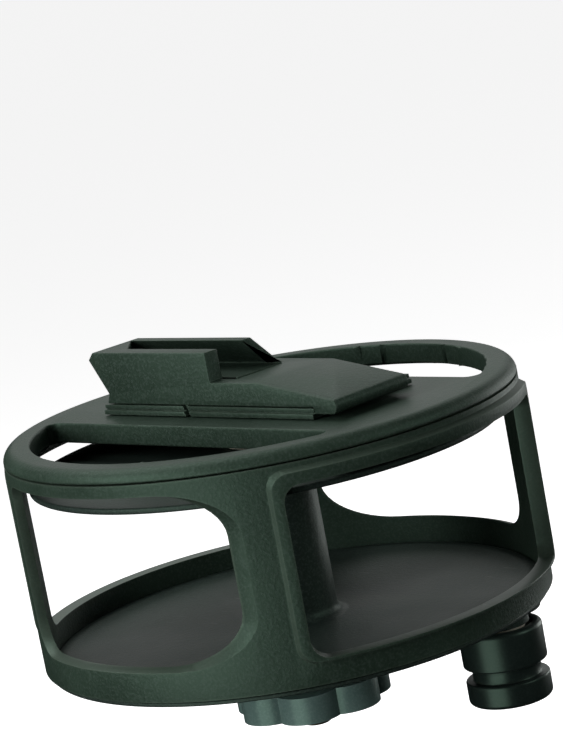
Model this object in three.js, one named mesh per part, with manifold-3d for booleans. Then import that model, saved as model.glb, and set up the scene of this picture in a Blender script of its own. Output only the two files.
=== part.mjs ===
// Open drum holder for fishing tackle: a windowed cage with a quick-fit shoe on its cap,
// a hand-turned spool inside, a lobed clamp knob under the middle and a winding grip under the rim.
// Millimetres, +Z up, +X along the shoe towards its ramp. Heights are counted from the cage's bottom
// edge while building; the finished group is then lowered so that the origin is on the shoe's deck.
import * as THREE from 'three';
import { mergeGeometries, mergeVertices } from 'three/addons/utils/BufferGeometryUtils.js';
import Module from 'manifold-3d';

const wasm = await Module();
wasm.setup();

// ---- driving dimensions ----
const drumRadius = 60;          // outside of the cage wall
const drumHeight = 52.3;        // cage bottom edge to the cap's top face
const wall = 2.3;               // cage wall
const seatGap = 0.3;            // between pieces that seat on each other
const runGap = 0.35;            // between pieces that turn past each other
const roundSteps = 60;          // facets round the drum
const smallSteps = 18;          // facets round small turned pieces

const cap = { edgeRound: 3, plate: 4.9, hubRadius: 10, hubDrop: 2.9, rimWidth: 6.7,
  slotNearEdge: 22.8, slotCorner: 2.2, pocketRoom: 0.5, pocketDepth: 4.5 };
const rim = { innerEdge: 0.4, outerEdge: 0.8, lap: 1.2, lapEase: 0.6 };
const sideWindow = { half: 39.9, low: 6, topRail: 7.8, corner: 4, frameReach: 3.8, frameStand: 1.5,
  frameRoot: 0.5, frameDrop: 1.3, frameLift: 3.9, slopeAcross: 1.6, slopeLow: 0.7, slopeHigh: 1.3 };
const endWindow = { from: 241, to: 307, flare: 3.5, low: 7.5, sillFall: 0.8, topRail: 6.1,
  tightCorner: [9, 8], smallCorner: [4, 4], wideCorner: [19, 11] };
const shoe = { front: -15.5, back: 7.4, tail: -35.3, nose: 42.6, deckHeight: 8.2, wallHeight: 7,
  frontWall: 4.1, backWall: 3.3, lean: 6.5, wallsEnd: 2.7, rampStart: 20, rampDrop: 3.3, noseLift: 1.4,
  hookReach: 3.7, waistHeight: 5.2, waistIn: 1.5, lip: 1.8, tailEase: 0.4, backStep: 1.2,
  channelStart: -29.4, channelCorner: -36.6, channelFar: -30 };
const base = { halfWidth: 15.3, start: -36.3, end: 35, lower: 1.1, upper: 1.2, step: 0.5,
  notch: -9, notchWidth: 1.6, notchDepth: 1 };
const shoeScrew = { radius: 1.6, headRadius: 3, headHeight: 1.6, spanX: 44, spanY: 12,
  centreY: -4.5, bite: 3.4 };
const bolt = { radius: 3.8, headStep: 1.9, headHeight: 2.4, washerLip: 0.1, washer: 0.9, tipReach: 5.2,
  tipRound: 1.4 };
const thrust = { radius: 9, thickness: 1.2 };
const flange = { clearance: 2.2, thickness: 1.5, edge: 0.6, hubReach: 3.3, hubThickness: 3.3 };
const post = { radius: 9.7, footReach: 2.3, footHeight: 2, footEase: 0.6 };
const bushing = { length: 9, inset: 0.6, wall: 1.2 };
const flangeScrew = { count: 3, radius: 1, headRadius: 1.6, headHeight: 1.1, bite: 5 };
const tray = { rimInset: 1, thickness: 1.7, floor: 0.8, dish: 0.5, rimWidth: 3, dishRun: 1.5, edge: 0.8 };
const grip = { fromRim: 13, bearing: 31.6, radius: 9.8, upperRing: 8.9, groove: 3.2, lowerRing: 5.6,
  grooveRadius: 8, round: 1, chamfer: 0.5, recess: 1.4, bossRadius: 10.2, bossHeight: 2.4, neckRadius: 7,
  neckHeight: 3, screwRadius: 2.2, screwRise: 0.4, headRadius: 4.2, headHeight: 2, headSink: 1, washer: 0.8,
  washerRadius: 6 };
const knob = { radius: 18.5, lobes: 7, lobeRadius: 7.6, height: 6.4, edge: 1.6, hubRadius: 9.5,
  hubHeight: 11.4, turn: -47.4, insertWall: 1.2, insertLength: 9, washer: 0.9, washerRadius: 8.5 };

// ---- levels and radii worked out from them ----
const innerRadius = drumRadius - wall;
const capUnder = drumHeight - cap.plate;
const parting = drumHeight - cap.edgeRound;
const hubUnder = capUnder - cap.hubDrop;
const thrustTop = hubUnder - seatGap;
const flangeTop = thrustTop - thrust.thickness - seatGap;
const flangeUnder = flangeTop - flange.thickness;
const postTop = flangeTop - flange.hubThickness - seatGap;
const trayUnder = tray.floor - tray.thickness - tray.dish;
const deckLevel = drumHeight + shoe.deckHeight;
const shoeUnder = drumHeight + seatGap + base.lower + base.upper + seatGap;
const knobTop = trayUnder - seatGap - knob.washer - seatGap;
const knobUnder = knobTop - knob.hubHeight - knob.height;
const boltTip = knobUnder - bolt.tipReach;
const boltBore = bolt.radius + seatGap;
const hexShare = Math.cos(Math.PI / 6);
const boltHeadRadius = (bolt.radius + bolt.headStep) / hexShare;
const boltWasherRadius = boltHeadRadius + bolt.washerLip;
const insertRadius = (boltBore + knob.insertWall) / hexShare;
const bushingRadius = boltBore + bushing.wall;
const postBore = bushingRadius + seatGap;
const sideWindowHigh = drumHeight - sideWindow.topRail;
const endWindowHigh = drumHeight - endWindow.topRail;
const cutInner = drumRadius * 0.8;
const cutOuter = drumRadius * 1.9;
const screwSeat = flangeTop - flangeScrew.headHeight - seatGap;
const flangeScrewTip = screwSeat - flange.hubThickness - flangeScrew.bite;
const gripAngle = THREE.MathUtils.degToRad(grip.bearing);
const gripOrbit = drumRadius - grip.fromRim;
const gripCentre = [gripOrbit * Math.cos(gripAngle), gripOrbit * Math.sin(gripAngle)];
const bossUnder = trayUnder - grip.bossHeight - grip.neckHeight;
const gripScrewTip = trayUnder + grip.screwRise;
const recessFloor = bossUnder - runGap - grip.washer - runGap;
const gripTop = recessFloor + grip.recess;
const gripBottom = gripTop - grip.upperRing - grip.groove - grip.lowerRing;
const gripWell = gripBottom + grip.headHeight + grip.headSink;

// ---- solids ----
function toManifold(geometry) {
  const bare = geometry.clone();
  bare.deleteAttribute('normal');
  bare.deleteAttribute('uv');
  const welded = mergeVertices(bare.index ? bare.toNonIndexed() : bare, 1e-4);
  return new wasm.Manifold(new wasm.Mesh({
    numProp: 3,
    vertProperties: new Float32Array(welded.attributes.position.array),
    triVerts: new Uint32Array(welded.index.array),
  }));
}

function toGeometry(manifold) {
  const data = manifold.getMesh();
  const geometry = new THREE.BufferGeometry();
  geometry.setAttribute('position', new THREE.BufferAttribute(new Float32Array(data.vertProperties), 3));
  geometry.setIndex(new THREE.BufferAttribute(new Uint32Array(data.triVerts), 1));
  geometry.computeVertexNormals();
  return geometry;
}

// A solid of revolution about Z from [radius, height] points.
function turned(profile, steps = smallSteps) {
  const points = profile.map(([radius, height]) => new THREE.Vector2(radius, height));
  const geometry = new THREE.LatheGeometry(points, steps);
  geometry.rotateX(Math.PI / 2);
  const volume = signedVolume(geometry);
  return toManifold(volume < 0 ? flipped(geometry) : geometry);
}

function ring(inner, outer, low, high, steps = smallSteps) {
  return turned([[inner, low], [outer, low], [outer, high], [inner, high], [inner, low]], steps);
}

function rod(radius, low, high, steps = smallSteps) {
  return turned([[0, low], [radius, low], [radius, high], [0, high]], steps);
}

function hexNut(bore, across, low, high) {
  return rod(across, low, high, 6).subtract(rod(bore, low - 1, high + 1));
}

function signedVolume(geometry) {
  const flat = geometry.index ? geometry.toNonIndexed() : geometry;
  const p = flat.attributes.position;
  const a = new THREE.Vector3();
  const b = new THREE.Vector3();
  const c = new THREE.Vector3();
  let sum = 0;
  for (let i = 0; i < p.count; i += 3) {
    a.fromBufferAttribute(p, i);
    b.fromBufferAttribute(p, i + 1);
    c.fromBufferAttribute(p, i + 2);
    sum += a.dot(b.cross(c)) / 6;
  }
  return sum;
}

function flipped(geometry) {
  const copy = geometry.clone();
  const index = copy.index.array;
  for (let i = 0; i < index.length; i += 3) {
    const first = index[i];
    index[i] = index[i + 1];
    index[i + 1] = first;
  }
  return copy;
}

// A prism: a plan outline in X and Y raised from one height to another.
function upright(shape, low, high, curveSegments = 12) {
  const settings = { depth: high - low, bevelEnabled: false, curveSegments };
  const geometry = new THREE.ExtrudeGeometry(shape, settings);
  geometry.translate(0, 0, low);
  return toManifold(geometry);
}

// A prism: a side outline in X and Z pushed from one Y to another.
function sideways(points, near, far) {
  const shape = new THREE.Shape(points.map(([x, z]) => new THREE.Vector2(x, z)));
  const geometry = new THREE.ExtrudeGeometry(shape, { depth: far - near, bevelEnabled: false });
  geometry.rotateX(Math.PI / 2);
  geometry.translate(0, far, 0);
  return toManifold(geometry);
}

// A prism: an end outline in Y and Z pushed from one X to another.
function lengthways(points, start, end) {
  const shape = new THREE.Shape(points.map(([y, z]) => new THREE.Vector2(y, z)));
  const geometry = new THREE.ExtrudeGeometry(shape, { depth: end - start, bevelEnabled: false });
  geometry.applyMatrix4(new THREE.Matrix4().set(0, 0, 1, start, 1, 0, 0, 0, 0, 1, 0, 0, 0, 0, 0, 1));
  return toManifold(geometry);
}

function box(lowX, lowY, lowZ, highX, highY, highZ) {
  const geometry = new THREE.BoxGeometry(highX - lowX, highY - lowY, highZ - lowZ);
  geometry.translate((lowX + highX) / 2, (lowY + highY) / 2, (lowZ + highZ) / 2);
  return toManifold(geometry);
}

function atPlaces(solid, places) {
  return places.map(([x, y]) => solid.translate([x, y, 0]));
}

// ---- windows: an opening seen on the drum's wall, as columns of [bearing, low, high] ----
// Each end has [across in degrees, up in mm] ellipse corners.
function columns({ from, to, low, high, startLow, startHigh, endLow, endHigh }) {
  const cornerSteps = 6;
  const middleSteps = 16;
  const startReach = Math.max(startLow[0], startHigh[0]);
  const endReach = Math.max(endLow[0], endHigh[0]);
  const bearings = [];
  for (let i = 0; i < cornerSteps; i++) {
    bearings.push(from + startReach * (1 - Math.cos((i / cornerSteps) * Math.PI / 2)));
  }
  const flatFrom = from + startReach;
  const flatTo = to - endReach;
  for (let i = 0; i <= middleSteps; i++) bearings.push(flatFrom + ((flatTo - flatFrom) * i) / middleSteps);
  for (let i = cornerSteps - 1; i >= 0; i--) {
    bearings.push(to - endReach * (1 - Math.cos((i / cornerSteps) * Math.PI / 2)));
  }
  const rise = (distance, [across, up]) => {
    const share = Math.max(0, 1 - distance / across);
    return up * (1 - Math.sqrt(Math.max(0, 1 - share * share)));
  };
  return bearings.map((bearing) => {
    const lift = rise(bearing - from, startLow) + rise(to - bearing, endLow);
    const drop = rise(bearing - from, startHigh) + rise(to - bearing, endHigh);
    return [bearing, low + lift, high - drop];
  });
}

// The closed solid between two sets of columns, one at each radius.
function curvedBlock(innerColumns, innerR, outerColumns, outerR) {
  const points = [];
  const place = ([bearing, low, high], radius) => {
    const angle = THREE.MathUtils.degToRad(bearing);
    const x = radius * Math.cos(angle);
    const y = radius * Math.sin(angle);
    points.push([x, y, low], [x, y, high]);
  };
  innerColumns.forEach((column, i) => {
    place(column, innerR);
    place(outerColumns[i], outerR);
  });
  const faces = [];
  const quad = (a, b, c, d) => faces.push(a, b, c, a, c, d);
  const last = innerColumns.length - 1;
  for (let i = 0; i < last; i++) {
    const [inLow, inHigh, outLow, outHigh] = [4 * i, 4 * i + 1, 4 * i + 2, 4 * i + 3];
    quad(outLow, outLow + 4, outHigh + 4, outHigh);
    quad(inLow + 4, inLow, inHigh, inHigh + 4);
    quad(inHigh, outHigh, outHigh + 4, inHigh + 4);
    quad(inLow + 4, outLow + 4, outLow, inLow);
  }
  quad(0, 2, 3, 1);
  quad(4 * last + 2, 4 * last, 4 * last + 1, 4 * last + 3);
  const geometry = new THREE.BufferGeometry();
  geometry.setAttribute('position', new THREE.Float32BufferAttribute(points.flat(), 3));
  geometry.setIndex(faces);
  return toManifold(signedVolume(geometry) < 0 ? flipped(geometry) : geometry);
}

function even(from, to, low, high, corner) {
  const round = [(corner / drumRadius) * (180 / Math.PI), corner];
  return { from, to, low, high, startLow: round, startHigh: round, endLow: round, endHigh: round };
}

function endWindowCut() {
  const { from, to, flare, low, sillFall, tightCorner, smallCorner, wideCorner } = endWindow;
  const corners = { startLow: tightCorner, startHigh: smallCorner, endLow: wideCorner, endHigh: wideCorner };
  const opening = (end, sill) => columns({ from, to: end, low: sill, high: endWindowHigh, ...corners });
  const through = curvedBlock(opening(to, low), cutInner, opening(to, low), cutOuter);
  const spread = 1.6;
  const reveal = curvedBlock(opening(to, low), innerRadius,
    opening(to + flare * spread, low - sillFall * spread), innerRadius + wall * spread);
  return through.add(reveal);
}

function sideWindowFrame() {
  const { half, low, corner, frameReach, frameStand, frameRoot, frameDrop, frameLift } = sideWindow;
  const { slopeAcross, slopeLow, slopeHigh } = sideWindow;
  const reach = half + frameReach;
  const inset = reach - slopeAcross;
  const lowEdge = low - frameDrop;
  const highEdge = sideWindowHigh + frameLift;
  const foot = columns(even(-reach, reach, lowEdge, highEdge, corner));
  const top = columns(even(-inset, inset, lowEdge + slopeLow, highEdge - slopeHigh, corner));
  return curvedBlock(foot, innerRadius + frameRoot, top, drumRadius + frameStand);
}

function sideWindowCut() {
  const { half, low, corner } = sideWindow;
  const opening = columns(even(-half, half, low, sideWindowHigh, corner));
  return curvedBlock(opening, cutInner, opening, cutOuter);
}

function cage() {
  const { innerEdge, outerEdge, lap, lapEase } = rim;
  const wallTop = parting - seatGap;
  let body = turned([[innerRadius, innerEdge], [innerRadius + innerEdge, 0], [drumRadius - outerEdge, 0],
    [drumRadius, outerEdge], [drumRadius, wallTop], [innerRadius + lap, wallTop],
    [innerRadius, wallTop - lapEase], [innerRadius, innerEdge]], roundSteps);
  for (const turn of [0, 180]) body = body.add(sideWindowFrame().rotate([0, 0, turn]));
  for (const turn of [0, 180]) {
    body = body.subtract(sideWindowCut().rotate([0, 0, turn]));
    body = body.subtract(endWindowCut().rotate([0, 0, turn]));
  }
  return body;
}

// One D-shaped slot: a straight edge beside the shoe and an arc inside the rim, corners rounded.
function slotPlan(side) {
  const { rimWidth, slotNearEdge, slotCorner } = cap;
  const slotRadius = drumRadius - rimWidth;
  const arcCentre = slotRadius - slotCorner;
  const cornerY = slotNearEdge + slotCorner;
  const cornerX = Math.sqrt(arcCentre * arcCentre - cornerY * cornerY);
  const cornerTurn = Math.atan2(cornerY, cornerX);
  const plan = new THREE.Shape();
  plan.moveTo(-cornerX, side * slotNearEdge);
  plan.lineTo(cornerX, side * slotNearEdge);
  plan.absarc(cornerX, side * cornerY, slotCorner, -side * Math.PI / 2, side * cornerTurn, side < 0);
  plan.absarc(0, 0, slotRadius, side * cornerTurn, side * (Math.PI - cornerTurn), side < 0);
  const lastTurn = side * Math.PI * 1.5;
  plan.absarc(-cornerX, side * cornerY, slotCorner, side * (Math.PI - cornerTurn), lastTurn, side < 0);
  return plan;
}

function shoeScrewPlaces() {
  const { spanX, spanY, centreY } = shoeScrew;
  return [[-1, -1], [1, -1], [1, 1], [-1, 1]].map(([x, y]) => [(x * spanX) / 2, centreY + (y * spanY) / 2]);
}

function topCap() {
  const spigot = innerRadius - seatGap;
  const edge = [];
  for (let i = 0; i <= 5; i++) {
    const angle = (i / 5) * Math.PI / 2;
    const inset = cap.edgeRound * (1 - Math.cos(angle));
    edge.push([drumRadius - inset, parting + cap.edgeRound * Math.sin(angle)]);
  }
  let body = turned([[0, hubUnder], [cap.hubRadius, hubUnder], [cap.hubRadius, capUnder], [spigot, capUnder],
    [spigot, parting], ...edge, [0, drumHeight]], roundSteps);
  for (const side of [-1, 1]) body = body.subtract(upright(slotPlan(side), hubUnder - 1, drumHeight + 1, 20));
  body = body.subtract(rod(boltWasherRadius + cap.pocketRoom, drumHeight - cap.pocketDepth, drumHeight + 1));
  body = body.subtract(rod(boltBore, hubUnder - 1, drumHeight));
  const screwHole = rod(shoeScrew.radius + seatGap, capUnder - 1, drumHeight + 1, 12);
  for (const hole of atPlaces(screwHole, shoeScrewPlaces())) body = body.subtract(hole);
  return body;
}

function shoeBase() {
  const low = drumHeight + seatGap;
  const mid = low + base.lower;
  const high = mid + base.upper;
  let body = box(base.start, -base.halfWidth - base.step, low, base.end, base.halfWidth + base.step, mid)
    .add(box(base.start, -base.halfWidth, mid - 0.01, base.end, base.halfWidth, high));
  const slant = base.upper + base.lower;
  const notchEnd = base.notch + base.notchWidth;
  const outside = -base.halfWidth - base.step - 1;
  const notch = sideways([[base.notch, high + 1], [notchEnd, high + 1], [notchEnd + slant, low - 1],
    [base.notch + slant, low - 1]], outside, -base.halfWidth + base.notchDepth);
  body = body.subtract(notch);
  const screwHole = rod(shoeScrew.radius + seatGap, low - 1, high + 1, 12);
  for (const hole of atPlaces(screwHole, shoeScrewPlaces())) body = body.subtract(hole);
  return body;
}

// The shoe: a deck with a ramp and a rounded nose, and a U of walls that overhang at the tail and far side.
function shoeBody() {
  const { front, back, tail, nose, wallHeight, frontWall, backWall, lean, wallsEnd, rampStart, rampDrop,
    noseLift, hookReach, waistHeight, waistIn, lip, tailEase, backStep } = shoe;
  const { channelStart, channelCorner, channelFar } = shoe;
  const under = shoeUnder;
  const top = deckLevel + wallHeight;
  const noseTop = deckLevel - rampDrop;
  const noseUnder = drumHeight + noseLift;
  const noseRound = [];
  const noseHalf = (noseTop - noseUnder) / 2;
  for (let i = 0; i <= 6; i++) {
    const angle = Math.PI / 2 - (i / 6) * Math.PI;
    const inset = noseHalf * (1 - Math.cos(angle));
    noseRound.push([nose - inset, noseUnder + noseHalf * (1 + Math.sin(angle))]);
  }
  const waist = drumHeight + waistHeight;
  const clear = 5;
  const hook = tail - hookReach;
  const deck = sideways([[tail + tailEase, under], [base.end + seatGap, under],
    [base.end + seatGap, noseUnder], ...noseRound.reverse(),
    [rampStart, deckLevel], [tail + waistIn, deckLevel], [tail + waistIn, waist]], front, back);
  const tower = sideways([[tail + tailEase, under], [wallsEnd, under], [wallsEnd, top], [hook + lip, top],
    [hook, top - lip], [tail + waistIn, waist]], front, back);
  const farFace = back - backStep;
  const outside = lengthways([[front, under - 1], [farFace, under - 1], [farFace, deckLevel],
    [farFace - lean, top], [front, top]], hook - clear, wallsEnd + 1);
  const foot = farFace - backWall;
  const over = 1 + 1 / wallHeight;
  const channel = lengthways([[front + frontWall, deckLevel], [foot, deckLevel],
    [foot - lean * over, deckLevel + wallHeight * over], [front + frontWall, deckLevel + wallHeight * over]],
  hook - clear, wallsEnd + clear);
  const open = wallsEnd + clear;
  const plan = [[channelStart, front], [channelCorner, foot - lean], [channelFar, foot + clear],
    [open, foot + clear], [open, front]];
  const reach = new THREE.Shape(plan.map(([x, y]) => new THREE.Vector2(x, y)));
  const hollow = channel.intersect(upright(reach, deckLevel - 1, top + clear));
  let body = deck.add(tower.intersect(outside)).subtract(hollow);
  const screwHole = rod(shoeScrew.radius + seatGap, under - 1, under + shoeScrew.bite + seatGap, 12);
  for (const hole of atPlaces(screwHole, shoeScrewPlaces())) body = body.subtract(hole);
  return body;
}

function shoeScrewBody() {
  const headTop = capUnder - seatGap;
  return rod(shoeScrew.headRadius, headTop - shoeScrew.headHeight, headTop, 16)
    .add(rod(shoeScrew.radius, headTop - seatGap, shoeUnder + shoeScrew.bite, 12));
}

function clampBolt() {
  const headLow = drumHeight - cap.pocketDepth + seatGap + bolt.washer + seatGap;
  const tip = [[0, boltTip]];
  const tipSteps = 4;
  for (let i = 0; i <= tipSteps; i++) {
    const angle = (i / tipSteps) * Math.PI / 2;
    const inset = bolt.tipRound * (1 - Math.sin(angle));
    tip.push([bolt.radius - inset, boltTip + bolt.tipRound * (1 - Math.cos(angle))]);
  }
  const shank = turned([...tip, [bolt.radius, headLow + seatGap], [0, headLow + seatGap]], 24);
  return rod(boltHeadRadius, headLow, headLow + bolt.headHeight, 6).add(shank);
}

function boltWasher() {
  const low = drumHeight - cap.pocketDepth + seatGap;
  return ring(boltBore, boltWasherRadius, low, low + bolt.washer);
}

// ---- spool ----
function flangeScrewPlaces() {
  const orbit = (postBore + post.radius) / 2;
  return Array.from({ length: flangeScrew.count }, (unused, i) => {
    const angle = (i / flangeScrew.count) * 2 * Math.PI;
    return [orbit * Math.cos(angle), orbit * Math.sin(angle)];
  });
}

function spoolFlange() {
  const { clearance, edge, hubReach } = flange;
  const radius = innerRadius - clearance;
  const hubRadius = post.radius + hubReach;
  let body = turned([[postBore, postTop + seatGap], [hubRadius, postTop + seatGap],
    [hubRadius + 1, flangeUnder], [radius - edge, flangeUnder], [radius, flangeUnder + edge],
    [radius, flangeTop - edge], [radius - edge, flangeTop], [postBore, flangeTop],
    [postBore, postTop + seatGap]], roundSteps);
  const hole = rod(flangeScrew.radius + seatGap, postTop - 1, flangeTop + 1, 12);
  const sink = rod(flangeScrew.headRadius + seatGap, screwSeat - seatGap, flangeTop + 1, 16);
  for (const cut of atPlaces(hole.add(sink), flangeScrewPlaces())) body = body.subtract(cut);
  return body;
}

function flangeScrewBody() {
  return rod(flangeScrew.headRadius, screwSeat, screwSeat + flangeScrew.headHeight, 16)
    .add(rod(flangeScrew.radius, flangeScrewTip, screwSeat + seatGap, 12));
}

function spoolTray() {
  const { rimInset, floor, dish, rimWidth, dishRun, edge } = tray;
  const rimRadius = drumRadius - rimInset;
  const shelf = innerRadius - runGap;
  const dishFloor = floor - dish;
  const foot = dishFloor + post.footHeight;
  let body = turned([[postBore, trayUnder], [rimRadius - edge, trayUnder], [rimRadius, trayUnder + edge],
    [rimRadius, -runGap], [shelf, -runGap], [shelf, floor], [shelf - rimWidth, floor],
    [shelf - rimWidth - dishRun, dishFloor], [post.radius + post.footReach, dishFloor],
    [post.radius + post.footEase, (dishFloor + foot) / 2], [post.radius, foot],
    [post.radius, postTop], [postBore, postTop], [postBore, trayUnder]], roundSteps);
  const boss = rod(grip.bossRadius, trayUnder - grip.bossHeight, trayUnder + grip.screwRise, 32)
    .add(rod(grip.neckRadius, bossUnder, trayUnder));
  body = body.add(boss.translate([...gripCentre, 0]));
  const bore = rod(grip.screwRadius + seatGap, bossUnder - 1, gripScrewTip + seatGap, 16);
  body = body.subtract(bore.translate([...gripCentre, 0]));
  const hole = rod(flangeScrew.radius + seatGap, flangeScrewTip - seatGap, postTop + 1, 12);
  for (const cut of atPlaces(hole, flangeScrewPlaces())) body = body.subtract(cut);
  return body;
}

function bushingBody(low) {
  return ring(boltBore, bushingRadius, low, low + bushing.length);
}

// ---- winding grip ----
function windingGrip() {
  const { radius, upperRing, lowerRing, grooveRadius, round, chamfer, screwRadius, headRadius } = grip;
  const bore = screwRadius + runGap;
  const recessRadius = grip.neckRadius + 2 * runGap;
  const well = headRadius + runGap;
  const grooveTop = gripTop - upperRing;
  const grooveLow = gripBottom + lowerRing;
  return turned([[bore, recessFloor], [recessRadius, recessFloor], [recessRadius, gripTop],
    [radius - round, gripTop], [radius, gripTop - round], [radius, grooveTop + chamfer],
    [radius - chamfer, grooveTop], [grooveRadius, grooveTop], [grooveRadius, grooveLow],
    [radius - chamfer, grooveLow], [radius, grooveLow - chamfer], [radius, gripBottom + round],
    [radius - round, gripBottom], [well, gripBottom], [well, gripWell],
    [bore, gripWell], [bore, recessFloor]], 28);
}

function gripScrew() {
  const { screwRadius, headRadius, headHeight } = grip;
  const headTop = gripWell - runGap;
  return rod(headRadius, headTop - headHeight, headTop, 16)
    .add(rod(screwRadius, headTop - seatGap, gripScrewTip, 16));
}

function gripWasher() {
  const low = recessFloor + runGap;
  return ring(grip.screwRadius + seatGap, grip.washerRadius, low, low + grip.washer);
}

// ---- clamp knob ----
// Round lobes side by side about the middle, drawn in by a margin.
function lobedPlan(margin) {
  const { radius, lobes, lobeRadius, turn } = knob;
  const centre = radius - lobeRadius;
  const steps = lobes * 8;
  const points = Array.from({ length: steps }, (unused, i) => {
    const angle = (i / steps) * 2 * Math.PI;
    const pitch = (2 * Math.PI) / lobes;
    const aside = ((angle + pitch / 2) % pitch) - pitch / 2;
    const across = centre * Math.sin(aside);
    const reach = centre * Math.cos(aside) + Math.sqrt(lobeRadius * lobeRadius - across * across) - margin;
    const bearing = angle + THREE.MathUtils.degToRad(turn);
    return new THREE.Vector2(reach * Math.cos(bearing), reach * Math.sin(bearing));
  });
  return new THREE.Shape(points);
}

function clampKnob() {
  const { edge, hubRadius, hubHeight, insertLength } = knob;
  const headTop = knobTop - hubHeight;
  let body = rod(hubRadius, headTop - 1, knobTop, 32);
  for (const turn of [0, 45, 90]) {
    const angle = THREE.MathUtils.degToRad(turn);
    const lift = edge * (1 - Math.sin(angle));
    body = body.add(upright(lobedPlan(edge * (1 - Math.cos(angle))), knobUnder + lift, headTop - lift));
  }
  body = body.subtract(rod(insertRadius + seatGap, knobTop - insertLength - seatGap, knobTop + 1, 6));
  return body.subtract(rod(boltBore, knobUnder - 1, knobTop));
}

function knobInsert() {
  return hexNut(boltBore, insertRadius, knobTop - knob.insertLength, knobTop - seatGap);
}

function knobWasher() {
  const low = knobTop + seatGap;
  return ring(boltBore, knob.washerRadius, low, low + knob.washer, 32);
}

// ---- assembly ----
function finish(color, roughness, metalness = 0) {
  return new THREE.MeshStandardMaterial({ color, roughness, metalness });
}

const shell = finish(0x27302c, 0.62);
const inner = finish(0x232c29, 0.66);
const knobPlastic = finish(0x4d5c5d, 0.42);
const steel = finish(0xa6a9ab, 0.32, 1);
const brass = finish(0xb58d46, 0.35, 1);
const nylon = finish(0xd9d6cb, 0.5);

const rodHolder = new THREE.Group();
rodHolder.position.z = -deckLevel;

function add(name, manifold, material, place = [0, 0]) {
  const mesh = new THREE.Mesh(toGeometry(manifold), material);
  mesh.name = name;
  mesh.position.set(place[0], place[1], 0);
  rodHolder.add(mesh);
}

add('cage', cage(), shell);
add('top_cap', topCap(), shell);
add('shoe_base', shoeBase(), shell);
add('shoe', shoeBody(), shell);
shoeScrewPlaces().forEach((place, i) => add(`shoe_screw_${i + 1}`, shoeScrewBody(), steel, place));
add('clamp_bolt', clampBolt(), brass);
add('bolt_washer', boltWasher(), steel);
add('thrust_washer', ring(boltBore, thrust.radius, thrustTop - thrust.thickness, thrustTop, 32), nylon);

add('spool_tray', spoolTray(), inner);
add('spool_flange', spoolFlange(), inner);
flangeScrewPlaces().forEach((place, i) => add(`flange_screw_${i + 1}`, flangeScrewBody(), steel, place));
add('upper_bushing', bushingBody(postTop - bushing.length - bushing.inset), nylon);
add('lower_bushing', bushingBody(trayUnder + bushing.inset), nylon);
add('grip_screw', gripScrew(), steel, gripCentre);
add('grip_washer', gripWasher(), nylon, gripCentre);
add('winding_grip', windingGrip(), inner, gripCentre);

add('knob_washer', knobWasher(), nylon);
add('clamp_knob', clampKnob(), knobPlastic);
add('knob_insert', knobInsert(), brass);

export default rodHolder;
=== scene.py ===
import math
import bmesh
import bpy
from mathutils import Matrix, Vector


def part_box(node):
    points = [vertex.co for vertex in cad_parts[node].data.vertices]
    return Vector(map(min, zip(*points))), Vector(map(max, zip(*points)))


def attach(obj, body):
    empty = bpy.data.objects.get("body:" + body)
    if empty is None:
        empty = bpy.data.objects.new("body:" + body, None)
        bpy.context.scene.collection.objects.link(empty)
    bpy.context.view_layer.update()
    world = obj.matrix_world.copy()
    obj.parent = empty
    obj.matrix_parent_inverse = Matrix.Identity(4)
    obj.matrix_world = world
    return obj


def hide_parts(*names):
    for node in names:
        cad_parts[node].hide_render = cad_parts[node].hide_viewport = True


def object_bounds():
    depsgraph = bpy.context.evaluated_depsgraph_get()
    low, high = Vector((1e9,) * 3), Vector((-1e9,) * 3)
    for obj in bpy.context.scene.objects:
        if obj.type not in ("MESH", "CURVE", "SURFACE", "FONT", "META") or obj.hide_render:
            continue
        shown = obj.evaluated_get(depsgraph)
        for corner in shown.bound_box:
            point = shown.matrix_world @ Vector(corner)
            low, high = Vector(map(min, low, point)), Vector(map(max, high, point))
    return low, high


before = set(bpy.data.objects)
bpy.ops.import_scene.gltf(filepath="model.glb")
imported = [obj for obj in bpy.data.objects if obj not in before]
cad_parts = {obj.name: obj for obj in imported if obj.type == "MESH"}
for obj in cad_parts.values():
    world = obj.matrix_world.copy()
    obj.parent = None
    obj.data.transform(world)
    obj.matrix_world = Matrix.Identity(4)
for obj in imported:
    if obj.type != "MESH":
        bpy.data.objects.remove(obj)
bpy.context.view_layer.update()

# Heights are counted from the cage's bottom edge, in millimetres.
mm = 0.001
cageLow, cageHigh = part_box("cage")
drumRadius = cageHigh.y / mm
cageFoot = cageLow.z


def up(height):
    return cageFoot + height * mm


def heightOf(z):
    return (z - cageFoot) / mm


def nodeHeights(node):
    low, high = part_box(node)
    return heightOf(low.z), heightOf(high.z)


def nodeCentre(node):
    low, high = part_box(node)
    return (low.x + high.x) / 2 / mm, (low.y + high.y) / 2 / mm


# ---- hand tools ----
def dropSelection():
    bpy.ops.object.select_all(action="DESELECT")


def takeUp(piece):
    dropSelection()
    piece.select_set(True)
    bpy.context.view_layer.objects.active = piece


def editAll():
    bpy.ops.object.mode_set(mode="EDIT")
    bpy.ops.mesh.select_mode(type="VERT")
    bpy.ops.mesh.select_all(action="SELECT")


def leaveEdit():
    bpy.ops.object.mode_set(mode="OBJECT")


def placeIn(piece):
    takeUp(piece)
    bpy.ops.object.transform_apply(location=True, rotation=True, scale=True)


def squareUp(piece):
    placeIn(piece)
    editAll()
    bpy.ops.mesh.remove_doubles(threshold=0.002 * mm)
    bpy.ops.mesh.normals_make_consistent(inside=False)
    if bmesh.from_edit_mesh(piece.data).calc_volume(signed=True) < 0:
        bpy.ops.mesh.flip_normals()
    leaveEdit()


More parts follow.
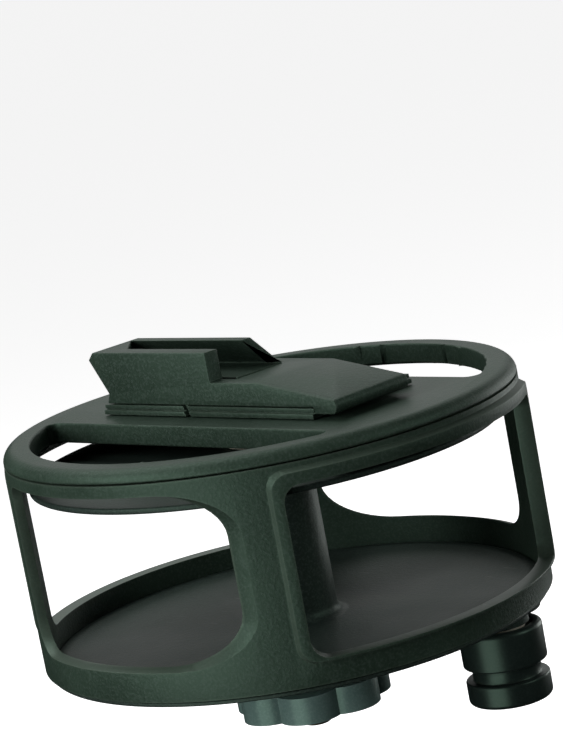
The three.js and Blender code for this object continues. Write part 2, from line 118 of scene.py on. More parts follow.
# Where a wall's two ends meet, slivers are removed and what is left open is filled.
def sealSeam(piece):
    takeUp(piece)
    editAll()
    bpy.ops.mesh.dissolve_degenerate(threshold=0.005 * mm)
    bpy.ops.mesh.select_all(action="SELECT")
    bpy.ops.mesh.delete_loose()
    bpy.ops.mesh.select_all(action="SELECT")
    bpy.ops.mesh.fill_holes(sides=0)
    leaveEdit()


def combine(piece, tool, operation):
    modifier = piece.modifiers.new("combine", "BOOLEAN")
    modifier.operation = operation
    modifier.solver = "EXACT"
    modifier.object = tool
    takeUp(piece)
    bpy.ops.object.modifier_apply(modifier=modifier.name)
    bpy.data.objects.remove(tool)


def joinFlats(piece, angle=0.25):
    takeUp(piece)
    editAll()
    bpy.ops.mesh.dissolve_limited(angle_limit=math.radians(angle))
    leaveEdit()


def soften(piece, width, segments=3, angle=32):
    modifier = piece.modifiers.new("soften", "BEVEL")
    modifier.width = width * mm
    modifier.segments = segments
    modifier.limit_method = "ANGLE"
    modifier.angle_limit = math.radians(angle)
    modifier.miter_outer = "MITER_ARC"
    takeUp(piece)
    bpy.ops.object.modifier_apply(modifier=modifier.name)


# A ring of vertices that is extruded, moved and scaled from point to point of a section.
def turnedRing(name, section, steps=192, centre=(0, 0), closed=True):
    dropSelection()
    x, y = centre[0] * mm, centre[1] * mm
    radius, height = section[0]
    bpy.ops.mesh.primitive_circle_add(vertices=steps, radius=radius * mm, location=(x, y, up(height)))
    piece = bpy.context.object
    piece.name = name
    editAll()
    points = section + [section[0]] if closed else section
    for (wasRadius, wasHeight), (radius, height) in zip(points, points[1:]):
        rise = (0, 0, (height - wasHeight) * mm)
        bpy.ops.mesh.extrude_region_move(TRANSFORM_OT_translate={"value": rise})
        grow = radius / wasRadius
        bpy.ops.transform.resize(value=(grow, grow, 1), center_override=(x, y, up(height)))
    if not closed:
        bpy.ops.mesh.select_all(action="SELECT")
        bpy.ops.mesh.fill_holes(sides=0)
    leaveEdit()
    squareUp(piece)
    return piece


def arc(radius, height, reach, start, end, steps=6):
    turns = [math.radians(start + (end - start) * i / steps) for i in range(steps + 1)]
    return [(radius + reach * math.cos(turn), height + reach * math.sin(turn)) for turn in turns]


# One vertex drawn round an outline, filled, and pushed along.
def drawnSolid(name, outline, push):
    dropSelection()
    points = [Vector((x * mm, y * mm, up(z))) for x, y, z in outline]
    bpy.ops.mesh.primitive_plane_add(size=mm, location=points[0])
    piece = bpy.context.object
    piece.name = name
    editAll()
    bpy.ops.mesh.merge(type="CENTER")
    for here, there in zip(points, points[1:]):
        bpy.ops.mesh.extrude_region_move(TRANSFORM_OT_translate={"value": there - here})
    bpy.ops.mesh.select_all(action="SELECT")
    bpy.ops.mesh.edge_face_add()
    bpy.ops.mesh.extrude_region_move(TRANSFORM_OT_translate={"value": Vector(push) * mm})
    leaveEdit()
    squareUp(piece)
    return piece


def block(name, low, high):
    dropSelection()
    middle = [(a + b) / 2 for a, b in zip(low, high)]
    bpy.ops.mesh.primitive_cube_add(size=1, location=(middle[0] * mm, middle[1] * mm, up(middle[2])))
    piece = bpy.context.object
    piece.name = name
    piece.scale = [(b - a) * mm for a, b in zip(low, high)]
    placeIn(piece)
    return piece


def drum(name, radius, low, high, centre=(0, 0), sides=96):
    dropSelection()
    place = (centre[0] * mm, centre[1] * mm, up((low + high) / 2))
    bpy.ops.mesh.primitive_cylinder_add(vertices=sides, radius=radius * mm, depth=(high - low) * mm, location=place)
    piece = bpy.context.object
    piece.name = name
    placeIn(piece)
    return piece


# Cuts away the side that the normal points to and closes the cut.
def shear(piece, point, normal):
    takeUp(piece)
    editAll()
    x, y, z = point
    bpy.ops.mesh.bisect(plane_co=(x * mm, y * mm, up(z)), plane_no=normal, use_fill=True, clear_outer=True)
    leaveEdit()


def copyOf(piece, name):
    takeUp(piece)
    bpy.ops.object.duplicate(linked=False)
    twin = bpy.context.object
    twin.name = name
    return twin


def hand(piece, material, body, nodes, smooth=28):
    squareUp(piece)
    bpy.ops.object.shade_smooth_by_angle(angle=math.radians(smooth))
    piece.data.materials.clear()
    piece.data.materials.append(material)
    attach(piece, body)
    if nodes:
        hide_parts(*nodes)


# ---- materials ----
# A node's output that can stand in a sum.
class Flow:
    def __init__(self, tree, socket):
        self.tree = tree
        self.socket = socket

    def maths(self, operation, first, second, clamp=False):
        step = self.tree.nodes.new("ShaderNodeMath")
        step.operation = operation
        step.use_clamp = clamp
        for place, value in enumerate((first, second)):
            if isinstance(value, Flow):
                self.tree.links.new(value.socket, step.inputs[place])
            else:
                step.inputs[place].default_value = value
        return Flow(self.tree, step.outputs[0])

    def __add__(self, other):
        return self.maths("ADD", self, other)

    def __radd__(self, other):
        return self.maths("ADD", other, self)

    def __sub__(self, other):
        return self.maths("SUBTRACT", self, other)

    def __rsub__(self, other):
        return self.maths("SUBTRACT", other, self)

    def __mul__(self, other):
        return self.maths("MULTIPLY", self, other)

    def __rmul__(self, other):
        return self.maths("MULTIPLY", other, self)

    def __pow__(self, other):
        return self.maths("POWER", self, other)

    def held(self):
        return self.maths("ADD", self, 0.0, clamp=True)


class Finish:
    def __init__(self, name, **constants):
        self.material = bpy.data.materials.new(name)
        self.material.use_nodes = True
        self.tree = self.material.node_tree
        self.shader = self.tree.nodes["Principled BSDF"]
        for socket, value in constants.items():
            self.shader.inputs[socket.replace("_", " ")].default_value = value
        self.place = self.node("ShaderNodeTexCoord", out="Object")

    def node(self, kind, settings=None, sockets=None, out=0):
        made = self.tree.nodes.new(kind)
        for key, value in (settings or {}).items():
            if key == "stops":
                self.setStops(made.color_ramp, value)
            else:
                setattr(made, key, value)
        for key, value in (sockets or {}).items():
            if isinstance(value, Flow):
                self.tree.links.new(value.socket, made.inputs[key])
            else:
                made.inputs[key].default_value = value
        return Flow(self.tree, made.outputs[out])

    def setStops(self, ramp, stops):
        while len(ramp.elements) < len(stops):
            ramp.elements.new(0.5)
        for element, (position, shade) in zip(ramp.elements, stops):
            element.position = position
            element.color = (shade, shade, shade, 1)

    def noise(self, scale, detail=2.0, roughness=0.5, place=None):
        sockets = {"Vector": place or self.place, "Scale": scale, "Detail": detail, "Roughness": roughness}
        return self.node("ShaderNodeTexNoise", sockets=sockets)

    def stretched(self, scale):
        settings = {"vector_type": "POINT"}
        return self.node("ShaderNodeMapping", settings, {"Vector": self.place, "Scale": scale})

    def steps(self, value, low, high):
        return self.node("ShaderNodeValToRGB", {"stops": [(low, 0.0), (high, 1.0)]}, {0: value})

    def blend(self, factor, first, second):
        return self.node("ShaderNodeMix", {"data_type": "RGBA"}, {0: factor, 6: first, 7: second}, out=2)

    def dot(self, first, second):
        return self.node("ShaderNodeVectorMath", {"operation": "DOT_PRODUCT"}, {0: first, 1: second}, out=1)

    def normal(self):
        return self.node("ShaderNodeNewGeometry", out="Normal")

    # 0 on flats, rising towards 1 on edges
    def edges(self, radius, gain):
        rounded = self.node("ShaderNodeBevel", {"samples": 6}, {"Radius": radius * mm})
        return ((1.0 - self.dot(rounded, self.normal())) * gain).held()

    def feed(self, socket, value):
        self.tree.links.new(value.socket, self.shader.inputs[socket])

    def bump(self, height, strength, distance):
        sockets = {"Height": height, "Strength": strength, "Distance": distance * mm}
        self.feed("Normal", self.node("ShaderNodeBump", sockets=sockets))


def tone(red, green, blue):
    return (red, green, blue, 1)


# Moulded plastic: spark-eroded grain, cloudy colour, rubbed edges and a few fine scratches. With reveals on, faces
# that do not face outward from the axis are made smoother and are painted towards the pale worn tone as painted light.
def mouldedPlastic(name, look, reveals=False):
    finish = Finish(name, IOR=1.5, Specular_IOR_Level=look["specular"], Specular_Tint=look["sheen"])
    grain = finish.noise(look["grainScale"], 3.0, 0.62)
    pits = finish.noise(look["grainScale"] * 0.46, 2.0)
    cloud = finish.noise(46, 4.0, 0.55)
    patches = finish.noise(15, 2.0)
    rubbed = finish.edges(look["edgeRadius"], look["edgeGain"])
    wear = rubbed * (0.45 + cloud * 0.9)
    streaks = finish.noise(95, 3.0, place=finish.stretched((1, 9, 3)))
    scratch = finish.steps(streaks, 0.67, 0.7) * finish.steps(patches, 0.5, 0.62)
    smooth = 0.0
    # smooth marks the faces that do not face outward (window reveals). It lowers their roughness and grain, and below
    # it also paints them paler as painted light.
    if reveals:
        flatPlace = finish.node("ShaderNodeVectorMath", {"operation": "MULTIPLY"}, {0: finish.place, 1: (1, 1, 0)})
        outward = finish.node("ShaderNodeVectorMath", {"operation": "NORMALIZE"}, {0: flatPlace})
        facing = finish.node("ShaderNodeMath", {"operation": "ABSOLUTE"}, {0: finish.dot(outward, finish.normal())})
        smooth = finish.steps(1.0 - facing, 0.22, 0.55)
    body = finish.blend(finish.steps(cloud, 0.32, 0.72), look["dark"], look["light"])
    body = finish.blend(finish.steps(grain, 0.47, 0.64) * look["fleck"], body, look["speck"])
    # Painted light: the reveals are painted 40% towards the pale worn tone, standing in for the light that falls on
    # them.
    if reveals:
        body = finish.blend(smooth * 0.4, body, look["worn"])
    body = finish.blend((wear * look["wear"]).held(), body, look["worn"])
    body = finish.blend(scratch * 0.25, body, look["worn"])
    finish.feed("Base Color", body)
    rough = look["rough"] + (cloud - 0.5) * look["roughSwing"] + (grain - 0.5) * 0.12
    finish.feed("Roughness", (rough - wear * 0.12 - smooth * 0.08 - scratch * 0.06).held())
    height = (grain * 0.7 + pits * 0.5) * (1.0 - smooth * 0.75) - scratch * 0.15
    finish.bump(height, look["bump"], look["depth"])
    return finish.material


def metal(name, look):
    finish = Finish(name, Metallic=1.0)
    brushed = finish.noise(420, 3.0, place=finish.stretched((1, 1, 14)))
    tarnish = finish.noise(160, 4.0, 0.6)
    rubbed = finish.edges(0.25, 3.0)
    body = finish.blend(finish.steps(tarnish, 0.35, 0.75), look["light"], look["dark"])
    finish.feed("Base Color", finish.blend((rubbed * 0.5).held(), body, look["worn"]))
    finish.feed("Roughness", (look["rough"] + (tarnish - 0.5) * 0.2 + (brushed - 0.5) * 0.12).held())
    finish.bump(brushed, 0.25, 0.03)
    return finish.material


shellLook = {"dark": tone(0.0122, 0.0215, 0.0148), "light": tone(0.0205, 0.035, 0.0245),
             "speck": tone(0.055, 0.074, 0.064), "worn": tone(0.075, 0.1, 0.078), "fleck": 0.32,
             "grainScale": 1650, "edgeRadius": 0.9, "edgeGain": 5.0, "wear": 0.42, "rough": 0.5,
             "roughSwing": 0.16, "specular": 0.34, "sheen": tone(0.62, 1, 0.76), "bump": 0.8, "depth": 0.16}
shoeLook = {**shellLook, "grainScale": 1500, "fleck": 0.4, "wear": 0.5, "rough": 0.52}
spoolLook = {**shellLook, "specular": 0.3, "dark": tone(0.009, 0.0135, 0.012), "light": tone(0.016, 0.023, 0.0205),
             "grainScale": 1800, "wear": 0.25, "rough": 0.52, "bump": 0.6}
gripLook = {**shellLook, "dark": tone(0.007, 0.0115, 0.0105), "light": tone(0.013, 0.02, 0.018),
            "grainScale": 2400, "fleck": 0.12, "wear": 0.3, "rough": 0.36, "roughSwing": 0.1,
            "bump": 0.25, "depth": 0.06}
knobLook = {**shellLook, "dark": tone(0.075, 0.125, 0.112), "light": tone(0.125, 0.195, 0.178),
            "speck": tone(0.2, 0.28, 0.27), "worn": tone(0.22, 0.3, 0.29), "grainScale": 1900,
            "fleck": 0.22, "wear": 0.3, "rough": 0.34, "roughSwing": 0.14, "bump": 0.3, "depth": 0.08}
nylonLook = {**shellLook, "dark": tone(0.5, 0.47, 0.38), "light": tone(0.66, 0.63, 0.54),
             "speck": tone(0.74, 0.71, 0.62), "worn": tone(0.78, 0.76, 0.68), "wear": 0.2, "rough": 0.44,
             "bump": 0.2, "depth": 0.05}
steelLook = {"dark": tone(0.34, 0.34, 0.35), "light": tone(0.58, 0.58, 0.59), "worn": tone(0.75, 0.75, 0.76),
             "rough": 0.32}
brassLook = {"dark": tone(0.34, 0.26, 0.09), "light": tone(0.62, 0.5, 0.2), "worn": tone(0.82, 0.72, 0.4),
             "rough": 0.3}

shellPlastic = mouldedPlastic("shellPlastic", shellLook, reveals=True)
capPlastic = mouldedPlastic("capPlastic", shellLook)
shoePlastic = mouldedPlastic("shoePlastic", shoeLook)
spoolPlastic = mouldedPlastic("spoolPlastic", spoolLook)
gripPlastic = mouldedPlastic("gripPlastic", gripLook)
knobPlastic = mouldedPlastic("knobPlastic", knobLook)
nylon = mouldedPlastic("nylon", nylonLook)
steel = metal("steel", steelLook)
brass = metal("brass", brassLook)
print("materials made")

# ---- cage: a flat slab with its windows cut, then bent round into the drum ----
cageParts = {"wall": 2.3, "half": 39.9, "low": 6, "high": 44.5, "corner": 4, "frameReach": 3.8, "stand": 1.5,
             "drop": 1.3, "lift": 3.9, "slopeAcross": 1.6, "slopeLow": 0.7, "slopeHigh": 1.3,
             "endFrom": 241, "endTo": 307, "flare": 3.5, "endLow": 7.5, "sillFall": 0.8, "endHigh": 46.2,
             "tight": (9, 8), "small": (4, 4), "wide": (19, 11), "seam": 52.5, "stepDegrees": 2,
             "edge": 0.45, "groove": 0.5}
wholeTurn = 360


# Along the unrolled wall: bearing -90 degrees is at 0.
def along(bearing):
    return drumRadius * math.radians(bearing + 90)


# The hull of four oval discs at each of two depths: a rounded window, frame or reveal.
def roundedHull(name, outlines):
    dropSelection()
    bpy.ops.mesh.primitive_plane_add(size=mm)
    piece = bpy.context.object
    piece.name = name
    editAll()
    bpy.ops.mesh.delete(type="VERT")
    for start, end, low, high, corners, depth in outlines:
        for atEnd in (False, True):
            for atTop in (False, True):
                across, tall = corners[2 * atEnd + atTop]
                reach = drumRadius * math.radians(across)
                x = along(end) - reach if atEnd else along(start) + reach
                z = high - tall if atTop else low + tall
                place = (x * mm, depth * mm, up(z))
                bpy.ops.mesh.primitive_circle_add(vertices=48, radius=mm, location=place,
                                                  rotation=(math.pi / 2, 0, 0))
                bpy.ops.transform.resize(value=(reach, 1, tall), center_override=place)
    bpy.ops.mesh.select_all(action="SELECT")
    bpy.ops.mesh.convex_hull()
    leaveEdit()
    joinFlats(piece, 0.1)
    return piece


def cagePiece():
    p = cageParts
    wallTop = heightOf(cageHigh.z)
    overhang = 6
    start, end = p["seam"] - wholeTurn, p["seam"]
    slab = block("cageShell", (along(start) - overhang, 0, 0), (along(end) + overhang, p["wall"], wallTop))
    round4 = math.degrees(p["corner"] / drumRadius), p["corner"]
    evenCorners = [round4] * 4
    reach = p["half"] + p["frameReach"]
    inset = reach - p["slopeAcross"]
    footLow, footHigh = p["low"] - p["drop"], p["high"] + p["lift"]
    for middle in (0, -180):
        foot = (middle - reach, middle + reach, footLow, footHigh, evenCorners, p["wall"] / 2)
        top = (middle - inset, middle + inset, footLow + p["slopeLow"], footHigh - p["slopeHigh"],
               evenCorners, -p["stand"])
        combine(slab, roundedHull("frame", [foot, top]), "UNION")
    deep, proud = p["wall"] + 2, -p["stand"] - 2
    endCorners = [p["tight"], p["small"], p["wide"], p["wide"]]
    for middle in (0, -180):
        opening = (middle - p["half"], middle + p["half"], p["low"], p["high"], evenCorners)
        combine(slab, roundedHull("cut", [(*opening, deep), (*opening, proud)]), "DIFFERENCE")
        first = p["endFrom"] - wholeTurn + middle
        last = p["endTo"] - wholeTurn + middle
        inner = (first, last, p["endLow"], p["endHigh"], endCorners)
        spread = 1.6
        outer = (first, last + p["flare"] * spread, p["endLow"] - p["sillFall"] * spread, p["endHigh"], endCorners)
        combine(slab, roundedHull("cut", [(*inner, deep), (*inner, p["wall"] / 2)]), "DIFFERENCE")
        reveal = [(*inner, p["wall"]), (*outer, p["wall"] * (1 - spread))]
        combine(slab, roundedHull("reveal", reveal), "DIFFERENCE")
    joinFlats(slab, 0.1)
    soften(slab, p["edge"], 3, 24)
    takeUp(slab)
    editAll()
    for bearing, outwards in ((start, -1), (end, 1)):
        bpy.ops.mesh.bisect(plane_co=(along(bearing) * mm, 0, 0), plane_no=(outwards, 0, 0), clear_outer=True)
        bpy.ops.mesh.select_all(action="SELECT")
    steps = wholeTurn // p["stepDegrees"]
    for step in range(1, steps):
        bearing = start + step * p["stepDegrees"]
        bpy.ops.mesh.select_all(action="SELECT")
        bpy.ops.mesh.bisect(plane_co=(along(bearing) * mm, 0, 0), plane_no=(1, 0, 0))
    leaveEdit()
    bend = slab.modifiers.new("bend", "SIMPLE_DEFORM")
    bend.deform_method = "BEND"
    bend.deform_axis = "Z"
    bend.angle = 2 * math.pi
    takeUp(slab)
    bpy.ops.object.modifier_apply(modifier=bend.name)
    slab.location.y -= drumRadius * mm
    squareUp(slab)
    sealSeam(slab)
    return slab


cageShell = cagePiece()
hand(cageShell, shellPlastic, "housing", ["cage"], 24)
print("cage done", len(cageShell.data.polygons))

# ---- cap: a turned lid with a rounded rim, two D-shaped slots and a hub below ----
capParts = {"edgeRound": 3, "plate": 4.9, "hubRadius": 10, "spigotGap": 0.3, "slotRim": 6.7, "slotNear": 22.8,
            "slotCorner": 2.2, "pocketDepth": 4.5, "pocketRadius": 7.3, "bore": 4.1, "lip": 0.7}


# A slot's outline: a straight near edge, the rim's own curve, and a round at each end.
def slotCutter(side, low, high):
    radius = drumRadius - capParts["slotRim"]
    corner = capParts["slotCorner"]
    cornerY = capParts["slotNear"] + corner
    cornerX = math.sqrt((radius - corner) ** 2 - cornerY ** 2)
    slot = drum("slot", radius, low, high, sides=180)
    shear(slot, (0, side * cornerY * radius / (radius - corner), 0), (0, -side, 0))
    ends = [drum("slotEnd", corner, low, high, (end * cornerX, side * cornerY), 32) for end in (-1, 1)]
    takeUp(slot)
    for end in ends:
        end.select_set(True)
    bpy.ops.object.join()
    editAll()
    bpy.ops.mesh.convex_hull()
    leaveEdit()
    joinFlats(slot, 0.1)
    squareUp(slot)
    return slot


def capPiece():
    p = capParts
    low, high = nodeHeights("top_cap")
    under = high - p["plate"]
    parting = high - p["edgeRound"]
    spigot = drumRadius - cageParts["wall"] - p["spigotGap"]
    pocket = high - p["pocketDepth"]
    rim = arc(drumRadius - p["edgeRound"], parting, p["edgeRound"], 0, 90, 10)
    section = [(p["bore"], low), (p["hubRadius"], low), (p["hubRadius"], under), (spigot, under),
               (spigot, parting), *rim, (p["pocketRadius"], high), (p["pocketRadius"], pocket),
               (p["bore"], pocket)]
    cap = turnedRing("capShell", section, 240)
    for side in (-1, 1):
        slot = slotCutter(side, low - 1, high + 1)
        combine(cap, slot, "DIFFERENCE")
    joinFlats(cap)
    soften(cap, p["lip"], 4, 40)
    return cap


capShell = capPiece()
hand(capShell, capPlastic, "housing", ["top_cap"], 30)
print("cap done", len(capShell.data.polygons))

# ---- shoe and its base plate ----
shoeParts = {"front": -15.5, "back": 7.4, "tail": -35.3, "nose": 42.6, "deck": 8.2, "wallHeight": 7, "frontWall": 4.1,
             "backWall": 3.3, "lean": 6.5, "wallsEnd": 2.7, "rampStart": 20, "rampDrop": 3.3, "noseLift": 1.4,
             "hookReach": 3.7, "waist": 5.2, "waistIn": 1.5, "lip": 1.8, "tailEase": 0.4, "backStep": 1.2,
             "channelStart": -29.4, "channelCorner": -36.6, "channelFar": -30, "underEnd": 35.3, "chamfer": 1.5,
             "edge": 0.4}
plateParts = {"half": 15.3, "step": 0.5, "start": -36.3, "end": 35, "lower": 1.1, "notch": -9, "notchWidth": 1.6,
              "notchDepth": 1, "edge": 0.22, "lineHeight": 0.25, "lineDepth": 0.35}
capTop = nodeHeights("top_cap")[1]


def shoePiece():
    p = shoeParts
    under = nodeHeights("shoe")[0]
    plateTop = nodeHeights("shoe_base")[1] + 0.3
    deck = capTop + p["deck"]
    top = deck + p["wallHeight"]
    waist = capTop + p["waist"]
    noseTop = deck - p["rampDrop"]
    half = (noseTop - under) / 2
    nose = [(x, z) for x, z in arc(p["nose"] - half, under + half, half, -90, 90, 10)]
    front, depth = p["front"], p["back"] - p["front"]
    side = [(p["tail"] + p["tailEase"], plateTop), (p["underEnd"], plateTop), (p["underEnd"], under), *nose,
            (p["rampStart"], deck), (p["tail"] + p["waistIn"], deck), (p["tail"] + p["waistIn"], waist)]
    shoe = drawnSolid("shoeBody", [(x, front, z) for x, z in side], (0, depth, 0))
    takeUp(shoe)
    editAll()
    bpy.ops.mesh.select_all(action="DESELECT")
    leaveEdit()
    for edge in shoe.data.edges:
        ends = [shoe.data.vertices[i].co for i in edge.vertices]
        atFront = all(abs(end.y - front * mm) < 0.01 * mm for end in ends)
        onRamp = all(end.x > (p["rampStart"] - 0.1) * mm and end.z > up(noseTop - 0.1) for end in ends)
        edge.select = atFront and onRamp
    bpy.ops.object.mode_set(mode="EDIT")
    bpy.ops.mesh.select_mode(type="EDGE")
    bpy.ops.mesh.bevel(offset=p["chamfer"] * mm, segments=2)
    leaveEdit()
    squareUp(shoe)
    hook = p["tail"] - p["hookReach"]
    towerSide = [(p["tail"] + p["tailEase"], plateTop), (p["wallsEnd"], plateTop), (p["wallsEnd"], top),
                 (hook + p["lip"], top), (hook, top - p["lip"]), (p["tail"] + p["waistIn"], waist)]
    tower = drawnSolid("tower", [(x, front, z) for x, z in towerSide], (0, depth - p["backStep"], 0))
    farFace = p["back"] - p["backStep"]
    shear(tower, (0, farFace, deck), (0, p["wallHeight"], p["lean"]))
    combine(shoe, tower, "UNION")
    foot = farFace - p["backWall"]
    over = 1 + 1 / p["wallHeight"]
    highLean, highTop = foot - p["lean"] * over, deck + p["wallHeight"] * over
    inside = front + p["frontWall"]
    ends = [(inside, deck), (foot, deck), (highLean, highTop), (inside, highTop)]
    channel = drawnSolid("channel", [(hook - 5, y, z) for y, z in ends], (p["wallsEnd"] + 10 - hook, 0, 0))
    turnY = foot - p["lean"]
    firstRun = Vector((p["channelCorner"] - p["channelStart"], turnY - front, 0))
    secondRun = Vector((p["channelFar"] - p["channelCorner"], foot + 5 - turnY, 0))
    for run in (firstRun, secondRun):
        shear(channel, (p["channelCorner"], turnY, 0), (-run.y, run.x, 0))
    combine(shoe, channel, "DIFFERENCE")
    joinFlats(shoe)
    soften(shoe, p["edge"], 3, 30)
    return shoe


def platePiece():
    p = plateParts
    low, high = nodeHeights("shoe_base")
    middle = low + p["lower"]
    wide = p["half"] + p["step"]
    plate = block("shoePlate", (p["start"], -wide, low), (p["end"], wide, middle))
    combine(plate, block("upper", (p["start"], -p["half"], middle - 0.2), (p["end"], p["half"], high)), "UNION")
    line = p["lineHeight"]
    for side in (-1, 1):
        near, far = sorted((side * (p["half"] - p["lineDepth"]), side * (wide + 1)))
        groove = block("groove", (p["start"] - 1, near, middle), (p["end"] + 1, far, middle + line))
        combine(plate, groove, "DIFFERENCE")
    slant = high - low
    start, width = p["notch"], p["notchWidth"]
    across = [(start, high + 1), (start + width, high + 1), (start + width + slant, low - 1), (start + slant, low - 1)]
    notch = drawnSolid("notch", [(x, -wide - 1, z) for x, z in across], (0, 1 + p["step"] + p["notchDepth"], 0))
    combine(plate, notch, "DIFFERENCE")
    joinFlats(plate)
    soften(plate, p["edge"], 2, 30)
    return plate


shoeBody = shoePiece()
hand(shoeBody, shoePlastic, "housing", ["shoe"], 30)
shoePlate = platePiece()
hand(shoePlate, shoePlastic, "housing", ["shoe_base"], 30)
print("shoe done", len(shoeBody.data.polygons))

# ---- spool: a dished tray with a hollow post, and a flange on top ----
spoolParts = {"bore": 5.6, "postRadius": 9.7, "footReach": 2.6, "under": -1.4, "rimInset": 1, "shelfGap": 0.35,
              "floor": 0.8, "dish": 0.5, "rimWidth": 3, "dishRun": 1.5, "bossRadius": 10.2, "bossHeight": 2.4,
              "neckRadius": 7, "neckHeight": 3, "edge": 0.35}
flangeParts = {"clearance": 2.2, "thickness": 1.5, "edge": 0.6, "hubRadius": 13, "grooveIn": 3.2, "grooveWide": 0.6,
               "grooveDeep": 0.35}
innerRadius = drumRadius - cageParts["wall"]


def spoolPiece():
    p = spoolParts
    postTop = nodeHeights("spool_flange")[0] - 0.3
    rim = drumRadius - p["rimInset"]
    shelf = innerRadius - p["shelfGap"]
    floor = p["floor"] - p["dish"]
    fillet = arc(p["postRadius"] + p["footReach"], floor + p["footReach"], p["footReach"], 270, 180, 8)
    section = [(p["bore"], p["under"]), (rim, p["under"]), (rim, -p["shelfGap"]), (shelf, -p["shelfGap"]),
               (shelf, p["floor"]), (shelf - p["rimWidth"], p["floor"]),
               (shelf - p["rimWidth"] - p["dishRun"], floor), *fillet, (p["postRadius"], postTop),
               (p["bore"], postTop)]
    spool = turnedRing("spoolBody", section, 240)
    joinFlats(spool)
    soften(spool, p["edge"], 3, 35)
    centre = nodeCentre("winding_grip")
    boss = drum("boss", p["bossRadius"], p["under"] - p["bossHeight"], p["under"] + 0.4, centre)
    soften(boss, 0.4, 3, 40)
    combine(spool, boss, "UNION")
    neckLow = p["under"] - p["bossHeight"] - p["neckHeight"]
    combine(spool, drum("neck", p["neckRadius"], neckLow, p["under"], centre), "UNION")
    return spool


def flangePiece():
    p = flangeParts
    low, high = nodeHeights("spool_flange")
    under = high - p["thickness"]
    outer = innerRadius - p["clearance"]
    grooveOut = outer - p["grooveIn"]
    grooveEnd = grooveOut - p["grooveWide"]
    rim = [*arc(outer - p["edge"], under + p["edge"], p["edge"], -90, 0, 4),
           *arc(outer - p["edge"], high - p["edge"], p["edge"], 0, 90, 4)]
    section = [(spoolParts["bore"], low), (p["hubRadius"], low), (p["hubRadius"] + 1, under), (grooveEnd, under),
               (grooveEnd, under + p["grooveDeep"]), (grooveOut, under + p["grooveDeep"]), (grooveOut, under),
               *rim, (spoolParts["bore"], high)]
    return turnedRing("spoolFlange", section, 240)


spoolBody = spoolPiece()
hand(spoolBody, spoolPlastic, "spool", ["spool_tray"], 30)
spoolFlange = flangePiece()
hand(spoolFlange, spoolPlastic, "spool", ["spool_flange"], 30)
print("spool done", len(spoolBody.data.polygons))

# ---- winding grip: two smooth rings with a deep groove between ----
gripParts = {"radius": 9.8, "upperRing": 8.9, "groove": 3.2, "grooveRadius": 8, "round": 1.1, "corner": 0.5,
             "bore": 2.55, "recess": 1.4, "recessRadius": 7.7, "well": 4.55, "wellDepth": 3, "edge": 0.25}


def gripPiece():
    p = gripParts
    low, high = nodeHeights("winding_grip")
    grooveTop = high - p["upperRing"]
    grooveLow = grooveTop - p["groove"]
    big, small, radius = p["round"], p["corner"], p["radius"]
    section = [(p["bore"], high - p["recess"]), (p["recessRadius"], high - p["recess"]), (p["recessRadius"], high),
               *arc(radius - big, high - big, big, 90, 0), *arc(radius - small, grooveTop + small, small, 0, -90),
               (p["grooveRadius"], grooveTop), (p["grooveRadius"], grooveLow),
               *arc(radius - small, grooveLow - small, small, 90, 0), *arc(radius - big, low + big, big, 0, -90),
               (p["well"], low), (p["well"], low + p["wellDepth"]), (p["bore"], low + p["wellDepth"])]
    grip = turnedRing("windingGrip", section, 128, nodeCentre("winding_grip"))
    soften(grip, p["edge"], 2, 60)
    return grip


windingGrip = gripPiece()
hand(windingGrip, gripPlastic, "grip", ["winding_grip"], 30)
print("grip done", len(windingGrip.data.polygons))

# ---- clamp knob: round lobes about a hub, with the bolt's end showing below ----
knobParts = {"radius": 18.5, "lobes": 7, "lobeRadius": 7.6, "head": 6.4, "turn": -47.4, "neck": 9.5, "bore": 4.1,
             "fill": 12, "round": 2.4}
boltParts = {"radius": 3.8, "tipRound": 1.4, "headRadius": 6.5}


def knobPiece():
    p = knobParts
    low, high = nodeHeights("clamp_knob")
    headTop = low + p["head"]
    orbit = p["radius"] - p["lobeRadius"]
    knob = drum("clampKnob", p["fill"], low, headTop, sides=84)
    for lobe in range(p["lobes"]):
        bearing = math.radians(p["turn"] + wholeTurn / p["lobes"] * lobe)
        centre = (orbit * math.cos(bearing), orbit * math.sin(bearing))
        combine(knob, drum("lobe", p["lobeRadius"], low, headTop, centre, 72), "UNION")
    joinFlats(knob)
    soften(knob, p["round"], 5, 35)
    combine(knob, drum("neck", p["neck"], headTop - 1, high), "UNION")
    combine(knob, drum("bore", p["bore"], low - 1, high + 1), "DIFFERENCE")
    return knob


def boltPiece():
    p = boltParts
    low, high = nodeHeights("clamp_bolt")
    headLow = high - 2.4
    tip = arc(p["radius"] - p["tipRound"], low + p["tipRound"], p["tipRound"], -90, 0, 8)
    bolt = turnedRing("clampBolt", [*tip, (p["radius"], headLow + 1)], 96, closed=False)
    combine(bolt, drum("head", p["headRadius"], headLow, high, sides=6), "UNION")
    soften(bolt, 0.2, 2, 45)
    return bolt


clampKnob = knobPiece()
hand(clampKnob, knobPlastic, "knob", ["clamp_knob"], 35)
clampBolt = boltPiece()
hand(clampBolt, brass, "housing", ["clamp_bolt"], 30)
print("knob done", len(clampKnob.data.polygons))

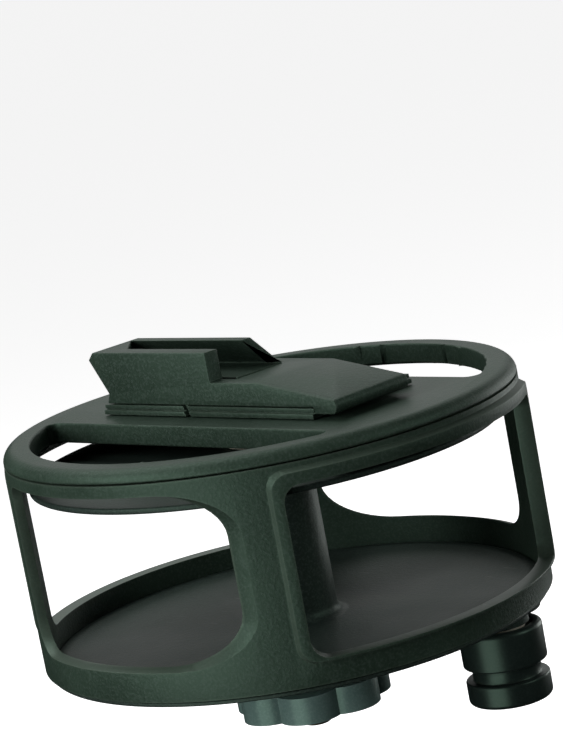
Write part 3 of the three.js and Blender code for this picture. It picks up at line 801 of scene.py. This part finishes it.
# ---- washers, turned again with softened edges ----
washers = {"knob_washer": ("knobWasher", "knob", "nylon", nylon, 4.1),
           "thrust_washer": ("thrustWasher", "housing", "nylon", nylon, 4.1),
           "bolt_washer": ("boltWasher", "housing", "steel", steel, 4.1),
           "grip_washer": ("gripWasher", "grip", "nylon", nylon, 2.5)}
for node, (name, body, slotName, material, bore) in washers.items():
    low, high = nodeHeights(node)
    boxLow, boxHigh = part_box(node)
    outer = (boxHigh.x - boxLow.x) / 2 / mm
    section = [(bore, low), (outer, low), (outer, high), (bore, high)]
    washer = turnedRing(name, section, 96, nodeCentre(node))
    soften(washer, 0.15, 2, 40)
    hand(washer, material, body, [node], 30)

# ---- the CAD pieces that stay: screws, bushings and the brass insert ----
kept = {"screw": steel, "bushing": nylon, "insert": brass}
for name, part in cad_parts.items():
    for word, material in kept.items():
        if word in name:
            part.data.materials.clear()
            part.data.materials.append(material)
print("small parts done")

# ---- camera ----
cameraParts = {"azimuth": 48.6, "elevation": 14.775, "roll": -10.741, "pan": -0.321, "tilt": 4.624,
               "distance": 0.7, "aimHeight": -0.0605, "lens": 143.47}


def turnPair(first, second, degrees):
    turn = math.radians(degrees)
    return first * math.cos(turn) + second * math.sin(turn), second * math.cos(turn) - first * math.sin(turn)


c = cameraParts
azimuth, elevation = math.radians(c["azimuth"]), math.radians(c["elevation"])
level = math.cos(elevation)
back = Vector((math.sin(azimuth) * level, -math.cos(azimuth) * level, math.sin(elevation)))
right = Vector((math.cos(azimuth), math.sin(azimuth), 0))
above = back.cross(right)
stand = Vector((0, 0, c["aimHeight"])) + back * c["distance"]
viewRight, viewBack = right.copy(), back.copy()
right, above = turnPair(right, above, c["roll"])
right, back = turnPair(right, back, c["pan"])
above, back = turnPair(above, back, c["tilt"])
dropSelection()
bpy.ops.object.camera_add(location=stand)
camera = bpy.context.object
camera.matrix_world = Matrix.Translation(stand) @ Matrix((right, above, back)).transposed().to_4x4()
camera.data.lens = c["lens"]
camera.data.clip_end = 100
bpy.context.scene.camera = camera

# ---- floor and light ----
stageParts = {"floorDrop": 0.22, "floorSize": 60, "worldStrength": 1.0, "floorGlow": 0.9}


def softbox(name, place, size, power):
    dropSelection()
    sideways, ahead, height = place
    flatBack = Vector((viewBack.x, viewBack.y, 0)).normalized()
    spot = viewRight * sideways + flatBack * ahead + Vector((0, 0, height))
    bpy.ops.object.light_add(type="AREA", location=spot)
    lamp = bpy.context.object
    lamp.name = name
    lamp.data.size = size
    lamp.data.energy = power
    target = Vector((0, 0, c["aimHeight"]))
    lamp.rotation_euler = (target - spot).to_track_quat("-Z", "Y").to_euler()


softbox("keyLight", (-0.85, 0.4, 0.38), 0.6, 8)
softbox("backLight", (0.15, -1.1, 0.6), 1.0, 3)
softbox("topLight", (-0.4, -0.3, 0.95), 0.8, 7)
softbox("fillLight", (0.95, 0.45, 0.4), 0.6, 3)
softbox("sideLight", (0.9, -0.75, 0.02), 0.6, 4)
softbox("lowLight", (-0.4, 0.5, -0.23), 0.6, 3.2)

dropSelection()
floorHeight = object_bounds()[0].z - stageParts["floorDrop"]
bpy.ops.mesh.primitive_plane_add(size=stageParts["floorSize"], location=(0, 0, floorHeight))
floor = bpy.context.object
floor.name = "floor"
floorFinish = Finish("paleFloor", Roughness=0.9, Emission_Strength=stageParts["floorGlow"])
floorFinish.shader.inputs["Base Color"].default_value = tone(0.86, 0.86, 0.86)
floorFinish.shader.inputs["Emission Color"].default_value = tone(1, 1, 1)
floor.data.materials.append(floorFinish.material)
floor.visible_diffuse = False
floor.visible_glossy = False

world = bpy.data.worlds.new("studio")
bpy.context.scene.world = world
world.use_nodes = True
world.node_tree.nodes["Background"].inputs["Color"].default_value = tone(1, 1, 1)
world.node_tree.nodes["Background"].inputs["Strength"].default_value = stageParts["worldStrength"]
world.cycles_visibility.diffuse = False
world.cycles_visibility.glossy = False
bpy.context.scene.view_settings.view_transform = "Standard"
print("stage done")
